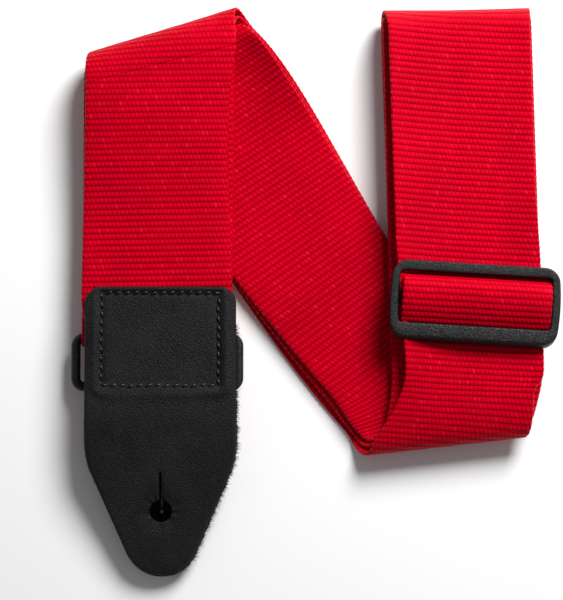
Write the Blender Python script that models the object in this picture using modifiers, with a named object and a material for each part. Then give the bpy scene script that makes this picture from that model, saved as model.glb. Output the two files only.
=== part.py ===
"""A guitar strap folded for storage, lying on a table with +Z up.

The main webbing runs up the left leg, turns under at the top fold, crosses down the diagonal leg, turns up and
over at the bottom fold and runs up the right leg to a loop. Three plies lie on each other almost all the way:
the single run to the leather end, and the doubled run between the slider and the ring.
"""
import math

import bmesh
import bpy
import numpy as np
from mathutils import Matrix, Vector

MM = 0.001

# Webbing
WEB_WIDTH = 50.8 * MM
PLY = 1.4 * MM
SEAM = 0.4 * MM  # gap between two stretches that meet end to end

# The strap is laid out about this point, which becomes x = y = 0
LAY_CENTRE = (11.26 * MM, 3.57 * MM)

# Heights of the plies' middles above the table
FRONT_Z = 12.7 * MM
RETURN_Z = 10.9 * MM
MIDDLE_Z = 9.1 * MM
BACK_Z = 7.3 * MM
DIAGONAL_TOP_Z = 4.3 * MM
DIAGONAL_MIDDLE_Z = 2.5 * MM
TABLE_Z = 0.7 * MM
SEWN_Z = 10.9 * MM

# Fold lines, each from the webbing's left edge to its right edge, and how far the webbing shifts along the line
TOP_FOLD = ((-67.5 * MM, 78.3 * MM), (-16.5 * MM, 91.6 * MM))
TOP_FOLD_SHIFT = 7.0 * MM
BOTTOM_FOLD = ((27.6 * MM, -45.8 * MM), (78.1 * MM, -40.2 * MM))
BOTTOM_FOLD_SHIFT = 8.0 * MM
DIAGONAL_WAIST = ((-15.8 * MM, 5.1 * MM), (27.8 * MM, 33.3 * MM))
FOLD_STEPS = 12

# Right leg: its middle line leans a little to the left on the way up
RIGHT_FOOT = (62.8 * MM, -28.0 * MM)
RIGHT_TOP = (59.8 * MM, 93.2 * MM)
BACK_FLAT_END = 22.0 * MM  # up to here the back plies lie on the diagonal, then they sink to the table

# Left leg and ring
LEFT_X = -42.2 * MM
LEFT_FLAT_START = 5.5 * MM  # from here up the left leg lies on the diagonal
RING_CENTRE = (-42.1 * MM, -21.0 * MM)
RING_Z = 6.45 * MM
RING_WIRE = 1.6 * MM
RING_HALF_WIDTH = 27.6 * MM
RING_HALF_LENGTH = 8.25 * MM
RING_CORNER = 2.8 * MM
RING_TURN = 2.65 * MM  # radius of the webbing's middle round a bar

# Leather ends: outline about the hole's line, hole and slit
LEATHER = 2.8 * MM
LEATHER_X = -40.9 * MM
LEATHER_TOP = 4.0 * MM
LEATHER_HALF = 25.8 * MM
LEATHER_CORNER = 5.5 * MM
TAPER_ANGLE = math.radians(23.5)
TIP_Y = -93.4 * MM
TIP_RADIUS = 12.6 * MM
HOLE_Y = -71.7 * MM
HOLE_RADIUS = 3.7 * MM
SLIT_TOP = -58.6 * MM
SLIT_HALF = 0.4 * MM
UPPER_LEATHER_Z = 13.4 * MM
LOWER_LEATHER_Z = 1.4 * MM
LOWER_LEATHER_TOP = -29.5 * MM
BEND_Y = -35.5 * MM
BEND_ANGLE = math.radians(8.7)
SEWN_END_Y = -35.0 * MM

# Stitching
THREAD = 0.35 * MM
THREAD_LIFT = 0.3 * MM
UPPER_BOX = (39.2 * MM, 31.0 * MM, -13.6 * MM)
LOWER_BOX = (39.2 * MM, 11.0 * MM, -50.0 * MM)

# Slider
SLIDER_CENTRE = (64.8 * MM, -1.4 * MM)
SLIDER_TURN = math.radians(-3.5)
SLIDER_HALF = (29.0 * MM, 13.0 * MM)
SLIDER_BULGE = 2.2 * MM
SLIDER_WINDOW = (26.0 * MM, -8.0 * MM, 9.4 * MM)
SLIDER_THICKNESS = 3.8 * MM
SLIDER_Z = 16.3 * MM
BAR_Y = 0.7 * MM
BAR_WIDTH = 4.4 * MM
BAR_THICKNESS = 1.6 * MM
BAR_Z = 16.2 * MM
LOOP_OFFSET = 1.0 * MM  # from the bar's surface to the middle of the ply round it
HUMP_Z = 19.7 * MM

RED = (0.62, 0.004, 0.012, 1.0)
BLACK_LEATHER = (0.018, 0.018, 0.02, 1.0)
BLACK_PLASTIC = (0.012, 0.012, 0.013, 1.0)
BLACK_THREAD = (0.01, 0.01, 0.01, 1.0)


def clear_scene():
    for item in list(bpy.data.objects):
        bpy.data.objects.remove(item, do_unlink=True)


def new_collection(name):
    collection = bpy.data.collections.new(name)
    bpy.context.scene.collection.children.link(collection)
    return collection


def new_material(name, color, roughness, metallic=0.0):
    material = bpy.data.materials.new(name)
    material.use_nodes = True
    shader = material.node_tree.nodes["Principled BSDF"]
    shader.inputs["Base Color"].default_value = color
    shader.inputs["Roughness"].default_value = roughness
    shader.inputs["Metallic"].default_value = metallic
    return material


def add_object(name, mesh, material):
    item = bpy.data.objects.new(name, mesh)
    mesh.materials.clear()
    mesh.materials.append(material)
    parts.objects.link(item)
    return item


def placed(points):
    """The same points measured from the middle of the folded strap."""
    return np.asarray(points, float) - np.array([LAY_CENTRE[0], LAY_CENTRE[1], 0.0])


def ribbon(name, left, right):
    """A stretch of webbing between two edge lines, each an (n, 3) array, thickened about its middle."""
    left = placed(left)
    right = placed(right)
    count = len(left)
    verts = np.concatenate([left, right])
    faces = [(i, i + 1, count + i + 1, count + i) for i in range(count - 1)]
    mesh = bpy.data.meshes.new(name)
    mesh.from_pydata(verts.tolist(), [], faces)
    mesh.update()
    item = add_object(name, mesh, webbing)
    solidify = item.modifiers.new("Thickness", "SOLIDIFY")
    solidify.thickness = PLY
    solidify.offset = 0.0
    solidify.use_even_offset = True


def with_height(points, heights):
    """Joins (n, 2) points and n heights into (n, 3) points."""
    return np.column_stack([np.asarray(points, float), np.broadcast_to(heights, len(points))])


def between(start, end, count):
    share = np.linspace(0.0, 1.0, count)[:, None]
    return (1.0 - share) * np.asarray(start) + share * np.asarray(end)


def fold_axes(line):
    """Unit vectors along a fold line and square to it, pointing to its left."""
    along = np.subtract(line[1], line[0])
    along = along / np.linalg.norm(along)
    return along, np.array([-along[1], along[0]])


def fold_points(line, shift, side, top_z, bottom_z, turns_down):
    """Edges of a half turn about a fold line, from the arriving leg to the leaving leg."""
    along, square = fold_axes(line)
    centre = 0.5 * (top_z + bottom_z)
    radius = 0.5 * (top_z - bottom_z)
    angle = np.linspace(0.0, math.pi, FOLD_STEPS + 1)
    rise = np.cos(angle) if turns_down else -np.cos(angle)
    reach = np.sin(angle) * side * radius
    slide = shift * angle / math.pi
    edges = []
    for corner in line:
        flat = np.asarray(corner) + np.outer(slide, along) + np.outer(reach, square)
        edges.append(with_height(flat, centre + radius * rise))
    return edges


def fold_leaving(line, shift):
    """The fold line where the webbing leaves it, moved along by the shift."""
    along = fold_axes(line)[0]
    return np.asarray(line) + shift * along


def make_folds():
    for name, top_z, bottom_z in (
        ("top_fold_outer_ply", SEWN_Z, TABLE_Z),
        ("top_fold_middle_ply", MIDDLE_Z, DIAGONAL_MIDDLE_Z),
        ("top_fold_inner_ply", BACK_Z, DIAGONAL_TOP_Z),
    ):
        left, right = fold_points(TOP_FOLD, TOP_FOLD_SHIFT, 1.0, top_z, bottom_z, True)
        ribbon(name, left, right)
    for name, top_z, bottom_z in (
        ("bottom_fold_outer_ply", FRONT_Z, TABLE_Z),
        ("bottom_fold_middle_ply", MIDDLE_Z, DIAGONAL_MIDDLE_Z),
        ("bottom_fold_inner_ply", BACK_Z, DIAGONAL_TOP_Z),
    ):
        left, right = fold_points(BOTTOM_FOLD, BOTTOM_FOLD_SHIFT, -1.0, top_z, bottom_z, False)
        ribbon(name, left, right)


def make_left_leg():
    square = fold_axes(TOP_FOLD)[1]
    end = np.asarray(TOP_FOLD) - SEAM * square
    half = 0.5 * WEB_WIDTH
    turn_y = RING_CENTRE[1] + RING_HALF_LENGTH + SEAM
    low_z = RING_Z - RING_TURN
    for name, foot_y, foot_z, top_z in (
        ("left_front_ply", LEATHER_TOP + SEAM, SEWN_Z, SEWN_Z),
        ("left_middle_ply", turn_y, RING_Z + RING_TURN, MIDDLE_Z),
        ("left_back_ply", turn_y, low_z, BACK_Z),
    ):
        climb = between((foot_y,), (LEFT_FLAT_START,), 6)[:, 0]
        share = np.linspace(0.0, 1.0, len(climb))
        ease = share * share * (3.0 - 2.0 * share)
        heights = np.append(foot_z + (top_z - foot_z) * ease, top_z)
        left = np.column_stack([np.full(len(climb), LEFT_X - half), climb])
        right = np.column_stack([np.full(len(climb), LEFT_X + half), climb])
        left = np.vstack([left, end[0]])
        right = np.vstack([right, end[1]])
        ribbon(name, with_height(left, heights), with_height(right, heights))


def make_diagonal():
    """Each edge is the parabola through its ends and the waist."""
    top = fold_leaving(TOP_FOLD, TOP_FOLD_SHIFT) - SEAM * fold_axes(TOP_FOLD)[1]
    foot = np.asarray(BOTTOM_FOLD) + SEAM * fold_axes(BOTTOM_FOLD)[1]
    waist = np.asarray(DIAGONAL_WAIST)
    share = np.linspace(0.0, 1.0, 11)[:, None]
    first = 2.0 * (share - 0.5) * (share - 1.0)
    second = 4.0 * share * (1.0 - share)
    third = 2.0 * share * (share - 0.5)
    edges = [first * top[k] + second * waist[k] + third * foot[k] for k in (0, 1)]
    for name, height in (
        ("diagonal_upper_ply", DIAGONAL_TOP_Z),
        ("diagonal_middle_ply", DIAGONAL_MIDDLE_Z),
        ("diagonal_lower_ply", TABLE_Z),
    ):
        ribbon(name, with_height(edges[0], height), with_height(edges[1], height))


def right_axes():
    """Unit vectors up the right leg and across it."""
    up = np.subtract(RIGHT_TOP, RIGHT_FOOT)
    up = up / np.linalg.norm(up)
    return up, np.array([up[1], -up[0]])


def right_edges(centres, heights):
    across = right_axes()[1] * 0.5 * WEB_WIDTH
    return with_height(centres - across, heights), with_height(centres + across, heights)


def sinking(ys, start_z, end_z):
    """Height that stays level to the end of the diagonal, then eases down to the top loop."""
    share = np.clip((ys - BACK_FLAT_END) / (RIGHT_TOP[1] - BACK_FLAT_END), 0.0, 1.0)
    ease = share * share * (3.0 - 2.0 * share)
    return start_z + (end_z - start_z) * ease


def make_right_leg():
    up = right_axes()[0]
    fold_end = fold_leaving(BOTTOM_FOLD, BOTTOM_FOLD_SHIFT) + SEAM * fold_axes(BOTTOM_FOLD)[1]
    top = np.asarray(RIGHT_TOP) - SEAM * up
    for name, start_z, end_z in (
        ("right_front_ply", FRONT_Z, FRONT_Z),
        ("right_middle_ply", MIDDLE_Z, 2.5 * MM),
        ("right_back_ply", BACK_Z, TABLE_Z),
    ):
        centres = between(RIGHT_FOOT, top, 13)
        left, right = right_edges(centres, sinking(centres[:, 1], start_z, end_z))
        left = np.vstack([[*fold_end[0], start_z], left])
        right = np.vstack([[*fold_end[1], start_z], right])
        ribbon(name, left, right)
    tail = np.asarray(RIGHT_FOOT) + up * (2.0 * MM - RIGHT_FOOT[1])
    left, right = right_edges(between(tail, top, 6), RETURN_Z)
    ribbon("right_return_ply", left, right)
    for name, top_z, bottom_z in (
        ("top_loop_outer_ply", FRONT_Z, TABLE_Z),
        ("top_loop_inner_ply", RETURN_Z, 2.5 * MM),
    ):
        angle = np.linspace(0.0, math.pi, FOLD_STEPS + 1)
        radius = 0.5 * (top_z - bottom_z)
        centres = np.asarray(RIGHT_TOP) + np.outer(radius * np.sin(angle), up)
        left, right = right_edges(centres, 0.5 * (top_z + bottom_z) + radius * np.cos(angle))
        ribbon(name, left, right)


def turn_profile(bar_y, side, steps=FOLD_STEPS):
    """(y, z) points round a ring bar, from above it to beneath it, passing on the given side."""
    angle = np.linspace(0.0, math.pi, steps + 1)
    return np.column_stack([bar_y + side * RING_TURN * np.sin(angle), RING_Z + RING_TURN * np.cos(angle)])


def across_left(profile):
    """Edges of a ribbon that runs along the left leg with a (y, z) profile."""
    half = 0.5 * WEB_WIDTH
    edges = []
    for x in (LEFT_X - half, LEFT_X + half):
        edges.append(np.column_stack([np.full(len(profile), x), profile]))
    return edges


def make_ring_turn():
    ribbon("ring_turn_ply", *across_left(turn_profile(RING_CENTRE[1] + RING_HALF_LENGTH, -1.0)))


def make_short_webbing():
    bar_y = RING_CENTRE[1] - RING_HALF_LENGTH
    end_y = -57.0 * MM
    upper = [(end_y, 5.6 * MM), (-43.0 * MM, 5.6 * MM), (-36.0 * MM, 6.6 * MM), (-32.0 * MM, 8.6 * MM)]
    lower = [(end_y, RING_Z - RING_TURN)]
    profile = np.vstack([upper, turn_profile(bar_y, 1.0), lower])
    ribbon("short_ring_webbing", *across_left(profile))


def make_sewn_end():
    profile = between((SEWN_END_Y, SEWN_Z), (LEATHER_TOP - SEAM, SEWN_Z), 2)
    ribbon("webbing_sewn_end", *across_left(profile))


def arc(centre, radius, start, end, count):
    angle = np.radians(np.linspace(start, end, count))
    return np.column_stack([centre[0] + radius * np.cos(angle), centre[1] + radius * np.sin(angle)])


def rounded_rectangle(centre, half, radius, count=6):
    corners = ((1, 1, 0), (-1, 1, 90), (-1, -1, 180), (1, -1, 270))
    runs = []
    for sx, sy, start in corners:
        middle = (centre[0] + sx * (half[0] - radius), centre[1] + sy * (half[1] - radius))
        runs.append(arc(middle, radius, start, start + 90, count))
    return np.vstack(runs)


def new_curve(name, kind, loops):
    """A curve of closed straight-sided loops; each loop is an (n, 3) array."""
    data = bpy.data.curves.new(name, "CURVE")
    data.dimensions = kind
    data.resolution_u = 1
    data.render_resolution_u = 1
    for loop in loops:
        spline = data.splines.new("POLY")
        spline.points.add(len(loop) - 1)
        for point, place in zip(spline.points, loop):
            point.co = (*place, 1.0)
        spline.use_cyclic_u = True
    return data


def to_mesh(name, data, material):
    """Turns a curve into a welded mesh object."""
    curve_object = bpy.data.objects.new(name + "_curve", data)
    parts.objects.link(curve_object)
    evaluated = curve_object.evaluated_get(bpy.context.evaluated_depsgraph_get())
    mesh = bpy.data.meshes.new_from_object(evaluated)
    bpy.data.objects.remove(curve_object, do_unlink=True)
    cage = bmesh.new()
    cage.from_mesh(mesh)
    bmesh.ops.remove_doubles(cage, verts=cage.verts, dist=1e-6)
    cage.to_mesh(mesh)
    cage.free()
    mesh.name = name
    return add_object(name, mesh, material)


def flat_plate(name, loops, thickness, material):
    """A plate from closed (n, 2) loops, centred on z = 0."""
    flat = [np.column_stack([loop, np.zeros(len(loop))]) for loop in loops]
    data = new_curve(name, "2D", flat)
    data.fill_mode = "BOTH"
    data.extrude = 0.5 * thickness
    return to_mesh(name, data, material)


def leather_half_outline(top_y):
    """Right half of the blank from its top corner to its tip, as offsets from the middle line."""
    side = np.array([math.cos(TAPER_ANGLE), -math.sin(TAPER_ANGLE)])
    tip_centre = (0.0, TIP_Y + TIP_RADIUS)
    corner = arc((LEATHER_HALF - LEATHER_CORNER, top_y - LEATHER_CORNER), LEATHER_CORNER, 90, 0, 6)
    degrees = math.degrees(TAPER_ANGLE)
    taper_end = np.asarray(tip_centre) + TIP_RADIUS * side
    climb = (LEATHER_HALF - taper_end[0]) / math.tan(TAPER_ANGLE)
    shoulder_y = taper_end[1] + climb
    blend = 6.0 * MM
    start = np.array([LEATHER_HALF, shoulder_y])
    slope = np.array([-math.sin(TAPER_ANGLE), -math.cos(TAPER_ANGLE)])
    before = start + np.array([0.0, blend])
    after = start + slope * blend
    share = np.linspace(0.0, 1.0, 6)[:, None]
    shoulder = (1 - share) ** 2 * before + 2 * share * (1 - share) * start + share**2 * after
    tip = arc(tip_centre, TIP_RADIUS, -degrees, -90, 8)
    return np.vstack([corner, shoulder, tip])


def leather_outline(top_y):
    right = leather_half_outline(top_y)
    left = right[-2::-1] * np.array([-1.0, 1.0])
    return np.vstack([right, left])


def keyhole():
    """The button hole with the slit that runs up from it."""
    open_angle = math.degrees(math.asin(SLIT_HALF / HOLE_RADIUS))
    hole = arc((0.0, HOLE_Y), HOLE_RADIUS, 90 + open_angle, 450 - open_angle, 29)
    slit = np.array([(SLIT_HALF, SLIT_TOP), (-SLIT_HALF, SLIT_TOP)])
    return np.vstack([hole, slit])


def leather_plate(name, top_y):
    return flat_plate(name, [leather_outline(top_y), keyhole()], LEATHER, leather)


def bend_down(item, bend_y, angle):
    """Cuts a plate across at bend_y and turns what lies below it down by the angle."""
    cage = bmesh.new()
    cage.from_mesh(item.data)
    everything = cage.verts[:] + cage.edges[:] + cage.faces[:]
    bmesh.ops.bisect_plane(cage, geom=everything, plane_co=(0, bend_y, 0), plane_no=(0, 1, 0), dist=1e-7)
    sine = math.sin(angle)
    cosine = math.cos(angle)
    for vertex in cage.verts:
        reach = bend_y - vertex.co.y
        if reach > 1e-6:
            height = vertex.co.z
            vertex.co.y = bend_y - reach * cosine - height * sine
            vertex.co.z = height * cosine - reach * sine
    cage.to_mesh(item.data)
    cage.free()


def make_leathers():
    upper = leather_plate("upper_leather_end", LEATHER_TOP)
    bend_down(upper, BEND_Y, BEND_ANGLE)
    upper.location = placed((LEATHER_X, 0.0, UPPER_LEATHER_Z))
    lower = leather_plate("lower_leather_end", LOWER_LEATHER_TOP)
    lower.location = placed((LEATHER_X, 0.0, LOWER_LEATHER_Z))


def make_thread_box(name, box, height):
    """A closed rectangle of thread lying on a surface at the given height."""
    width, length, middle_y = box
    loop = rounded_rectangle((LEATHER_X, middle_y), (0.5 * width, 0.5 * length), 1.0 * MM, 3)
    centre = np.column_stack([loop, np.full(len(loop), height + THREAD_LIFT + THREAD)])
    data = new_curve(name, "3D", [placed(centre)])
    data.bevel_depth = THREAD
    data.bevel_resolution = 1
    to_mesh(name, data, thread)


def make_ring():
    half = (RING_HALF_WIDTH, RING_HALF_LENGTH)
    loop = rounded_rectangle(RING_CENTRE, half, RING_CORNER)
    centre = np.column_stack([loop, np.full(len(loop), RING_Z)])
    data = new_curve("strap_ring", "3D", [placed(centre)])
    data.bevel_depth = RING_WIRE
    data.bevel_resolution = 2
    to_mesh("strap_ring", data, plastic)


def slider_outline():
    """Frame outline: straight rails and sides that bow outwards."""
    half_x, half_y = SLIDER_HALF
    corner = 3.0 * MM
    share = np.linspace(-1.0, 1.0, 9)
    bow_x = half_x - SLIDER_BULGE * share**2 * 0.6
    bow_y = (half_y - corner) * share
    right = np.column_stack([bow_x, bow_y])
    top = arc((bow_x[-1] - corner, half_y - corner), corner, 15, 90, 5)
    bottom = arc((bow_x[0] - corner, -half_y + corner), corner, -90, -15, 5)
    run = np.vstack([bottom, right, top])
    return np.vstack([run, -run])


def slider_window():
    half_x, low_y, high_y = SLIDER_WINDOW
    centre = (0.0, 0.5 * (low_y + high_y))
    return rounded_rectangle(centre, (half_x, 0.5 * (high_y - low_y)), 1.0 * MM, 4)


def slider_to_world(points):
    """Turns and places (n, 3) points of the slider's own frame."""
    cosine = math.cos(SLIDER_TURN)
    sine = math.sin(SLIDER_TURN)
    turn = np.array([[cosine, sine, 0.0], [-sine, cosine, 0.0], [0.0, 0.0, 1.0]])
    return np.asarray(points) @ turn + np.array([*SLIDER_CENTRE, 0.0])


def make_slider():
    frame = flat_plate("tri_glide_slider", [slider_outline(), slider_window()], SLIDER_THICKNESS, plastic)
    place = slider_to_world([(0.0, 0.0, SLIDER_Z)])[0]
    frame.location = placed(place)
    frame.rotation_euler = (0.0, 0.0, SLIDER_TURN)
    bpy.ops.mesh.primitive_cube_add(size=1.0)
    bar = bpy.context.active_object
    bar.name = "centre_bar_union"
    bar.location = placed(slider_to_world([(0.0, BAR_Y, BAR_Z)])[0])
    bar.rotation_euler = (0.0, 0.0, SLIDER_TURN)
    bar.scale = (2.0 * SLIDER_WINDOW[0] + 2.4 * MM, BAR_WIDTH, BAR_THICKNESS)
    bar.hide_render = True
    bar.display_type = "WIRE"
    for owner in list(bar.users_collection):
        owner.objects.unlink(bar)
    cutters.objects.link(bar)
    union = frame.modifiers.new("Centre bar", "BOOLEAN")
    union.operation = "UNION"
    union.solver = "EXACT"
    union.object = bar


def slider_ribbon(name, profile):
    """A ribbon across the slider with a (y, z) profile in the slider's frame."""
    half = 0.5 * WEB_WIDTH
    edges = []
    for x in (-half, half):
        edges.append(slider_to_world(np.column_stack([np.full(len(profile), x), profile])))
    ribbon(name, *edges)


def make_end_loop():
    """The webbing's end round the centre bar: a flat oval that is open at its upper foot."""
    flat = 0.5 * BAR_WIDTH - 0.5 * MM
    radius = 0.5 * BAR_THICKNESS + LOOP_OFFSET
    near = arc((BAR_Y - flat, BAR_Z), radius, 90, 270, 9)
    far = arc((BAR_Y + flat, BAR_Z), radius, 15, 90, 4)
    foot = np.array([(BAR_Y + flat, BAR_Z - radius)])
    slider_ribbon("webbing_end_loop", np.vstack([far, near, foot]))


def make_hump():
    """The front ply's rise over the centre bar, between the two rails."""
    low = FRONT_Z + 0.5 * PLY + 0.4 * MM + 0.5 * PLY
    low_y = SLIDER_WINDOW[1] + PLY
    high_y = SLIDER_WINDOW[2] - PLY
    middle = 0.5 * (low_y + high_y)
    share = np.linspace(-1.0, 1.0, 13)
    ys = middle + 0.5 * (high_y - low_y) * np.sin(0.5 * math.pi * share)
    rise = (1.0 - share**2) ** 0.5
    zs = low + 0.9 * MM + (HUMP_Z - low - 0.9 * MM) * rise ** 0.8
    slider_ribbon("webbing_over_bar", np.column_stack([ys, zs]))


def hang_on(name, place, nodes):
    """Puts an empty on a joint's axis and parents the moving pieces to it where they lie."""
    axis = bpy.data.objects.new(name, None)
    axis.location = placed(place)
    axis.empty_display_size = 10.0 * MM
    parts.objects.link(axis)
    for node in nodes:
        item = bpy.data.objects[node]
        item.parent = axis
        item.matrix_parent_inverse = Matrix.Translation(-Vector(axis.location))


def make_joint_axes():
    upper_bar_y = RING_CENTRE[1] + RING_HALF_LENGTH
    lower_bar_y = RING_CENTRE[1] - RING_HALF_LENGTH
    hinge_z = SEWN_Z + 0.5 * PLY + 0.5 * SEAM
    hang_on("slider_axis", (*SLIDER_CENTRE, SLIDER_Z), ("tri_glide_slider", "webbing_end_loop", "webbing_over_bar"))
    upper_pieces = ("upper_leather_end", "upper_box_stitch", "webbing_sewn_end")
    hang_on("upper_end_axis", (LEATHER_X, LEATHER_TOP, hinge_z), upper_pieces)
    hang_on("ring_axis", (RING_CENTRE[0], upper_bar_y, RING_Z), ("strap_ring",))
    lower_pieces = ("lower_leather_end", "lower_box_stitch", "short_ring_webbing")
    hang_on("lower_end_axis", (RING_CENTRE[0], lower_bar_y, RING_Z), lower_pieces)


def smooth_round_parts():
    for item in parts.objects:
        if item.type != "MESH":
            continue
        item.data.shade_smooth()
        item.data.set_sharp_from_angle(angle=math.radians(35.0))


clear_scene()
parts = new_collection("guitar_strap")
cutters = new_collection("cutters")
webbing = new_material("red_webbing", RED, 0.65)
leather = new_material("black_leather", BLACK_LEATHER, 0.6)
plastic = new_material("black_plastic", BLACK_PLASTIC, 0.45)
thread = new_material("black_thread", BLACK_THREAD, 0.7)

make_left_leg()
make_ring_turn()
make_folds()
make_diagonal()
make_right_leg()
make_sewn_end()
make_short_webbing()
make_leathers()
make_thread_box("upper_box_stitch", UPPER_BOX, UPPER_LEATHER_Z + 0.5 * LEATHER)
make_thread_box("lower_box_stitch", LOWER_BOX, 5.6 * MM + 0.5 * PLY)
make_ring()
make_slider()
make_end_loop()
make_hump()
make_joint_axes()
smooth_round_parts()
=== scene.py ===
import math

import bpy
import numpy as np
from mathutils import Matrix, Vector


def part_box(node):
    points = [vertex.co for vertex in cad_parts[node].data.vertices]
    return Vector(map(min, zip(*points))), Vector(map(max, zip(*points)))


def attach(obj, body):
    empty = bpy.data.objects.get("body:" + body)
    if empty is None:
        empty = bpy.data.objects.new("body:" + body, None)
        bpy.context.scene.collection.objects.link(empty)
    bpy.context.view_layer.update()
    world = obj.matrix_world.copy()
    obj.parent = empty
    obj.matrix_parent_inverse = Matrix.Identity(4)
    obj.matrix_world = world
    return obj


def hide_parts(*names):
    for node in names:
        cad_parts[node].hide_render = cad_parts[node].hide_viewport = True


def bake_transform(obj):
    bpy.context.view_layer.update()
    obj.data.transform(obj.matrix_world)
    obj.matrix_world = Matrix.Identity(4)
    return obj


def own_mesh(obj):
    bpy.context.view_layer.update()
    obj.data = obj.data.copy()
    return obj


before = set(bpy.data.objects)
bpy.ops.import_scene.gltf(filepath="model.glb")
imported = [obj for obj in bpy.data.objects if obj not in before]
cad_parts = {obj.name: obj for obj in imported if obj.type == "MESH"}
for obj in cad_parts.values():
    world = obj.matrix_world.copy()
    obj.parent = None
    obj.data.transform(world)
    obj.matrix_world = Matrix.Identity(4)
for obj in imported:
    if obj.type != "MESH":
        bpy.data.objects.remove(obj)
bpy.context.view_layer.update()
mm = 0.001
rng = np.random.default_rng(7)


def middle(node):
    low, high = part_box(node)
    return 0.5 * (np.array(low) + np.array(high))


def smoothStep(x):  # 0 below 0, 1 above 1, and 3x^2 - 2x^3 between
    x = np.clip(x, 0.0, 1.0)
    return x * x * (3.0 - 2.0 * x)


def unit(vectors):
    return vectors / np.linalg.norm(vectors, axis=-1, keepdims=True)


def gridQuads(rows, columns, wrapRows, wrapColumns):
    # four corners of each cell of a rows x columns grid; a wrapped side joins back to its start
    i = np.arange(rows if wrapRows else rows - 1)[:, None]
    j = np.arange(columns if wrapColumns else columns - 1)[None, :]
    nextI = (i + 1) % rows
    nextJ = (j + 1) % columns
    corners = [i * columns + j, i * columns + nextJ, nextI * columns + nextJ, nextI * columns + j]
    return np.stack([np.broadcast_to(c, (i.size, j.size)) for c in corners], axis=-1).reshape(-1, 4)


def buildMesh(name, points, faces, material, uv=None, flatFaces=0):
    # points (n, 3) and faces as lists; the last flatFaces faces stay flat, so that a seam keeps its shading
    mesh = bpy.data.meshes.new(name)
    mesh.from_pydata(points.tolist(), [], faces)
    smooth = np.ones(len(faces), dtype=bool)
    if flatFaces:
        smooth[-flatFaces:] = False
    mesh.polygons.foreach_set("use_smooth", smooth)
    if uv is not None:
        corner = np.empty(len(mesh.loops), dtype=np.int32)
        mesh.loops.foreach_get("vertex_index", corner)
        layer = mesh.uv_layers.new(name="lay")
        layer.data.foreach_set("uv", uv[corner].astype(np.float32).ravel())
    mesh.materials.append(material)
    mesh.validate()
    mesh.update()
    piece = bpy.data.objects.new(name, mesh)
    bpy.context.scene.collection.objects.link(piece)
    return piece


def gridPiece(name, grid, material, wrapRows=False, wrapColumns=False, caps=False, uv=None):
    rows, columns = grid.shape[:2]
    faces = gridQuads(rows, columns, wrapRows, wrapColumns).tolist()
    if caps:  # one many-sided face closes each end
        faces.append(list(range(columns))[::-1])
        faces.append(list(range((rows - 1) * columns, rows * columns)))
    flatUv = None if uv is None else uv.reshape(-1, 2)
    return buildMesh(name, grid.reshape(-1, 3), faces, material, flatUv, 2 if caps else 0)


def keep(piece, body, slotName, *nodes):
    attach(piece, body)
    if nodes:
        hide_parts(*nodes)


# node helpers; a plain number sets a socket, and another node's socket is linked to it

def addNode(tree, kind, settings=None, **values):
    node = tree.nodes.new("ShaderNode" + kind)
    for key, value in (settings or {}).items():
        setattr(node, key, value)
    for key, value in values.items():
        socket = node.inputs[int(key[1:])] if key[0] == "i" and key[1:].isdigit() else node.inputs[key]
        if isinstance(value, bpy.types.NodeSocket):
            tree.links.new(value, socket)
        else:
            socket.default_value = value
    return node


def sums(tree, operation, first, second=0.0, third=0.0):
    return addNode(tree, "Math", {"operation": operation}, i0=first, i1=second, i2=third).outputs[0]


def newGroup(name, inputs, outputs):
    tree = bpy.data.node_groups.new(name, "ShaderNodeTree")
    for label, kind, value in inputs:
        socket = tree.interface.new_socket(label, in_out="INPUT", socket_type=kind)
        if value is not None:
            socket.default_value = value
    for label, kind in outputs:
        tree.interface.new_socket(label, in_out="OUTPUT", socket_type=kind)
    start = tree.nodes.new("NodeGroupInput")
    end = tree.nodes.new("NodeGroupOutput")
    return tree, start.outputs, end.inputs


number = "NodeSocketFloat"
vector = "NodeSocketVector"


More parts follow.
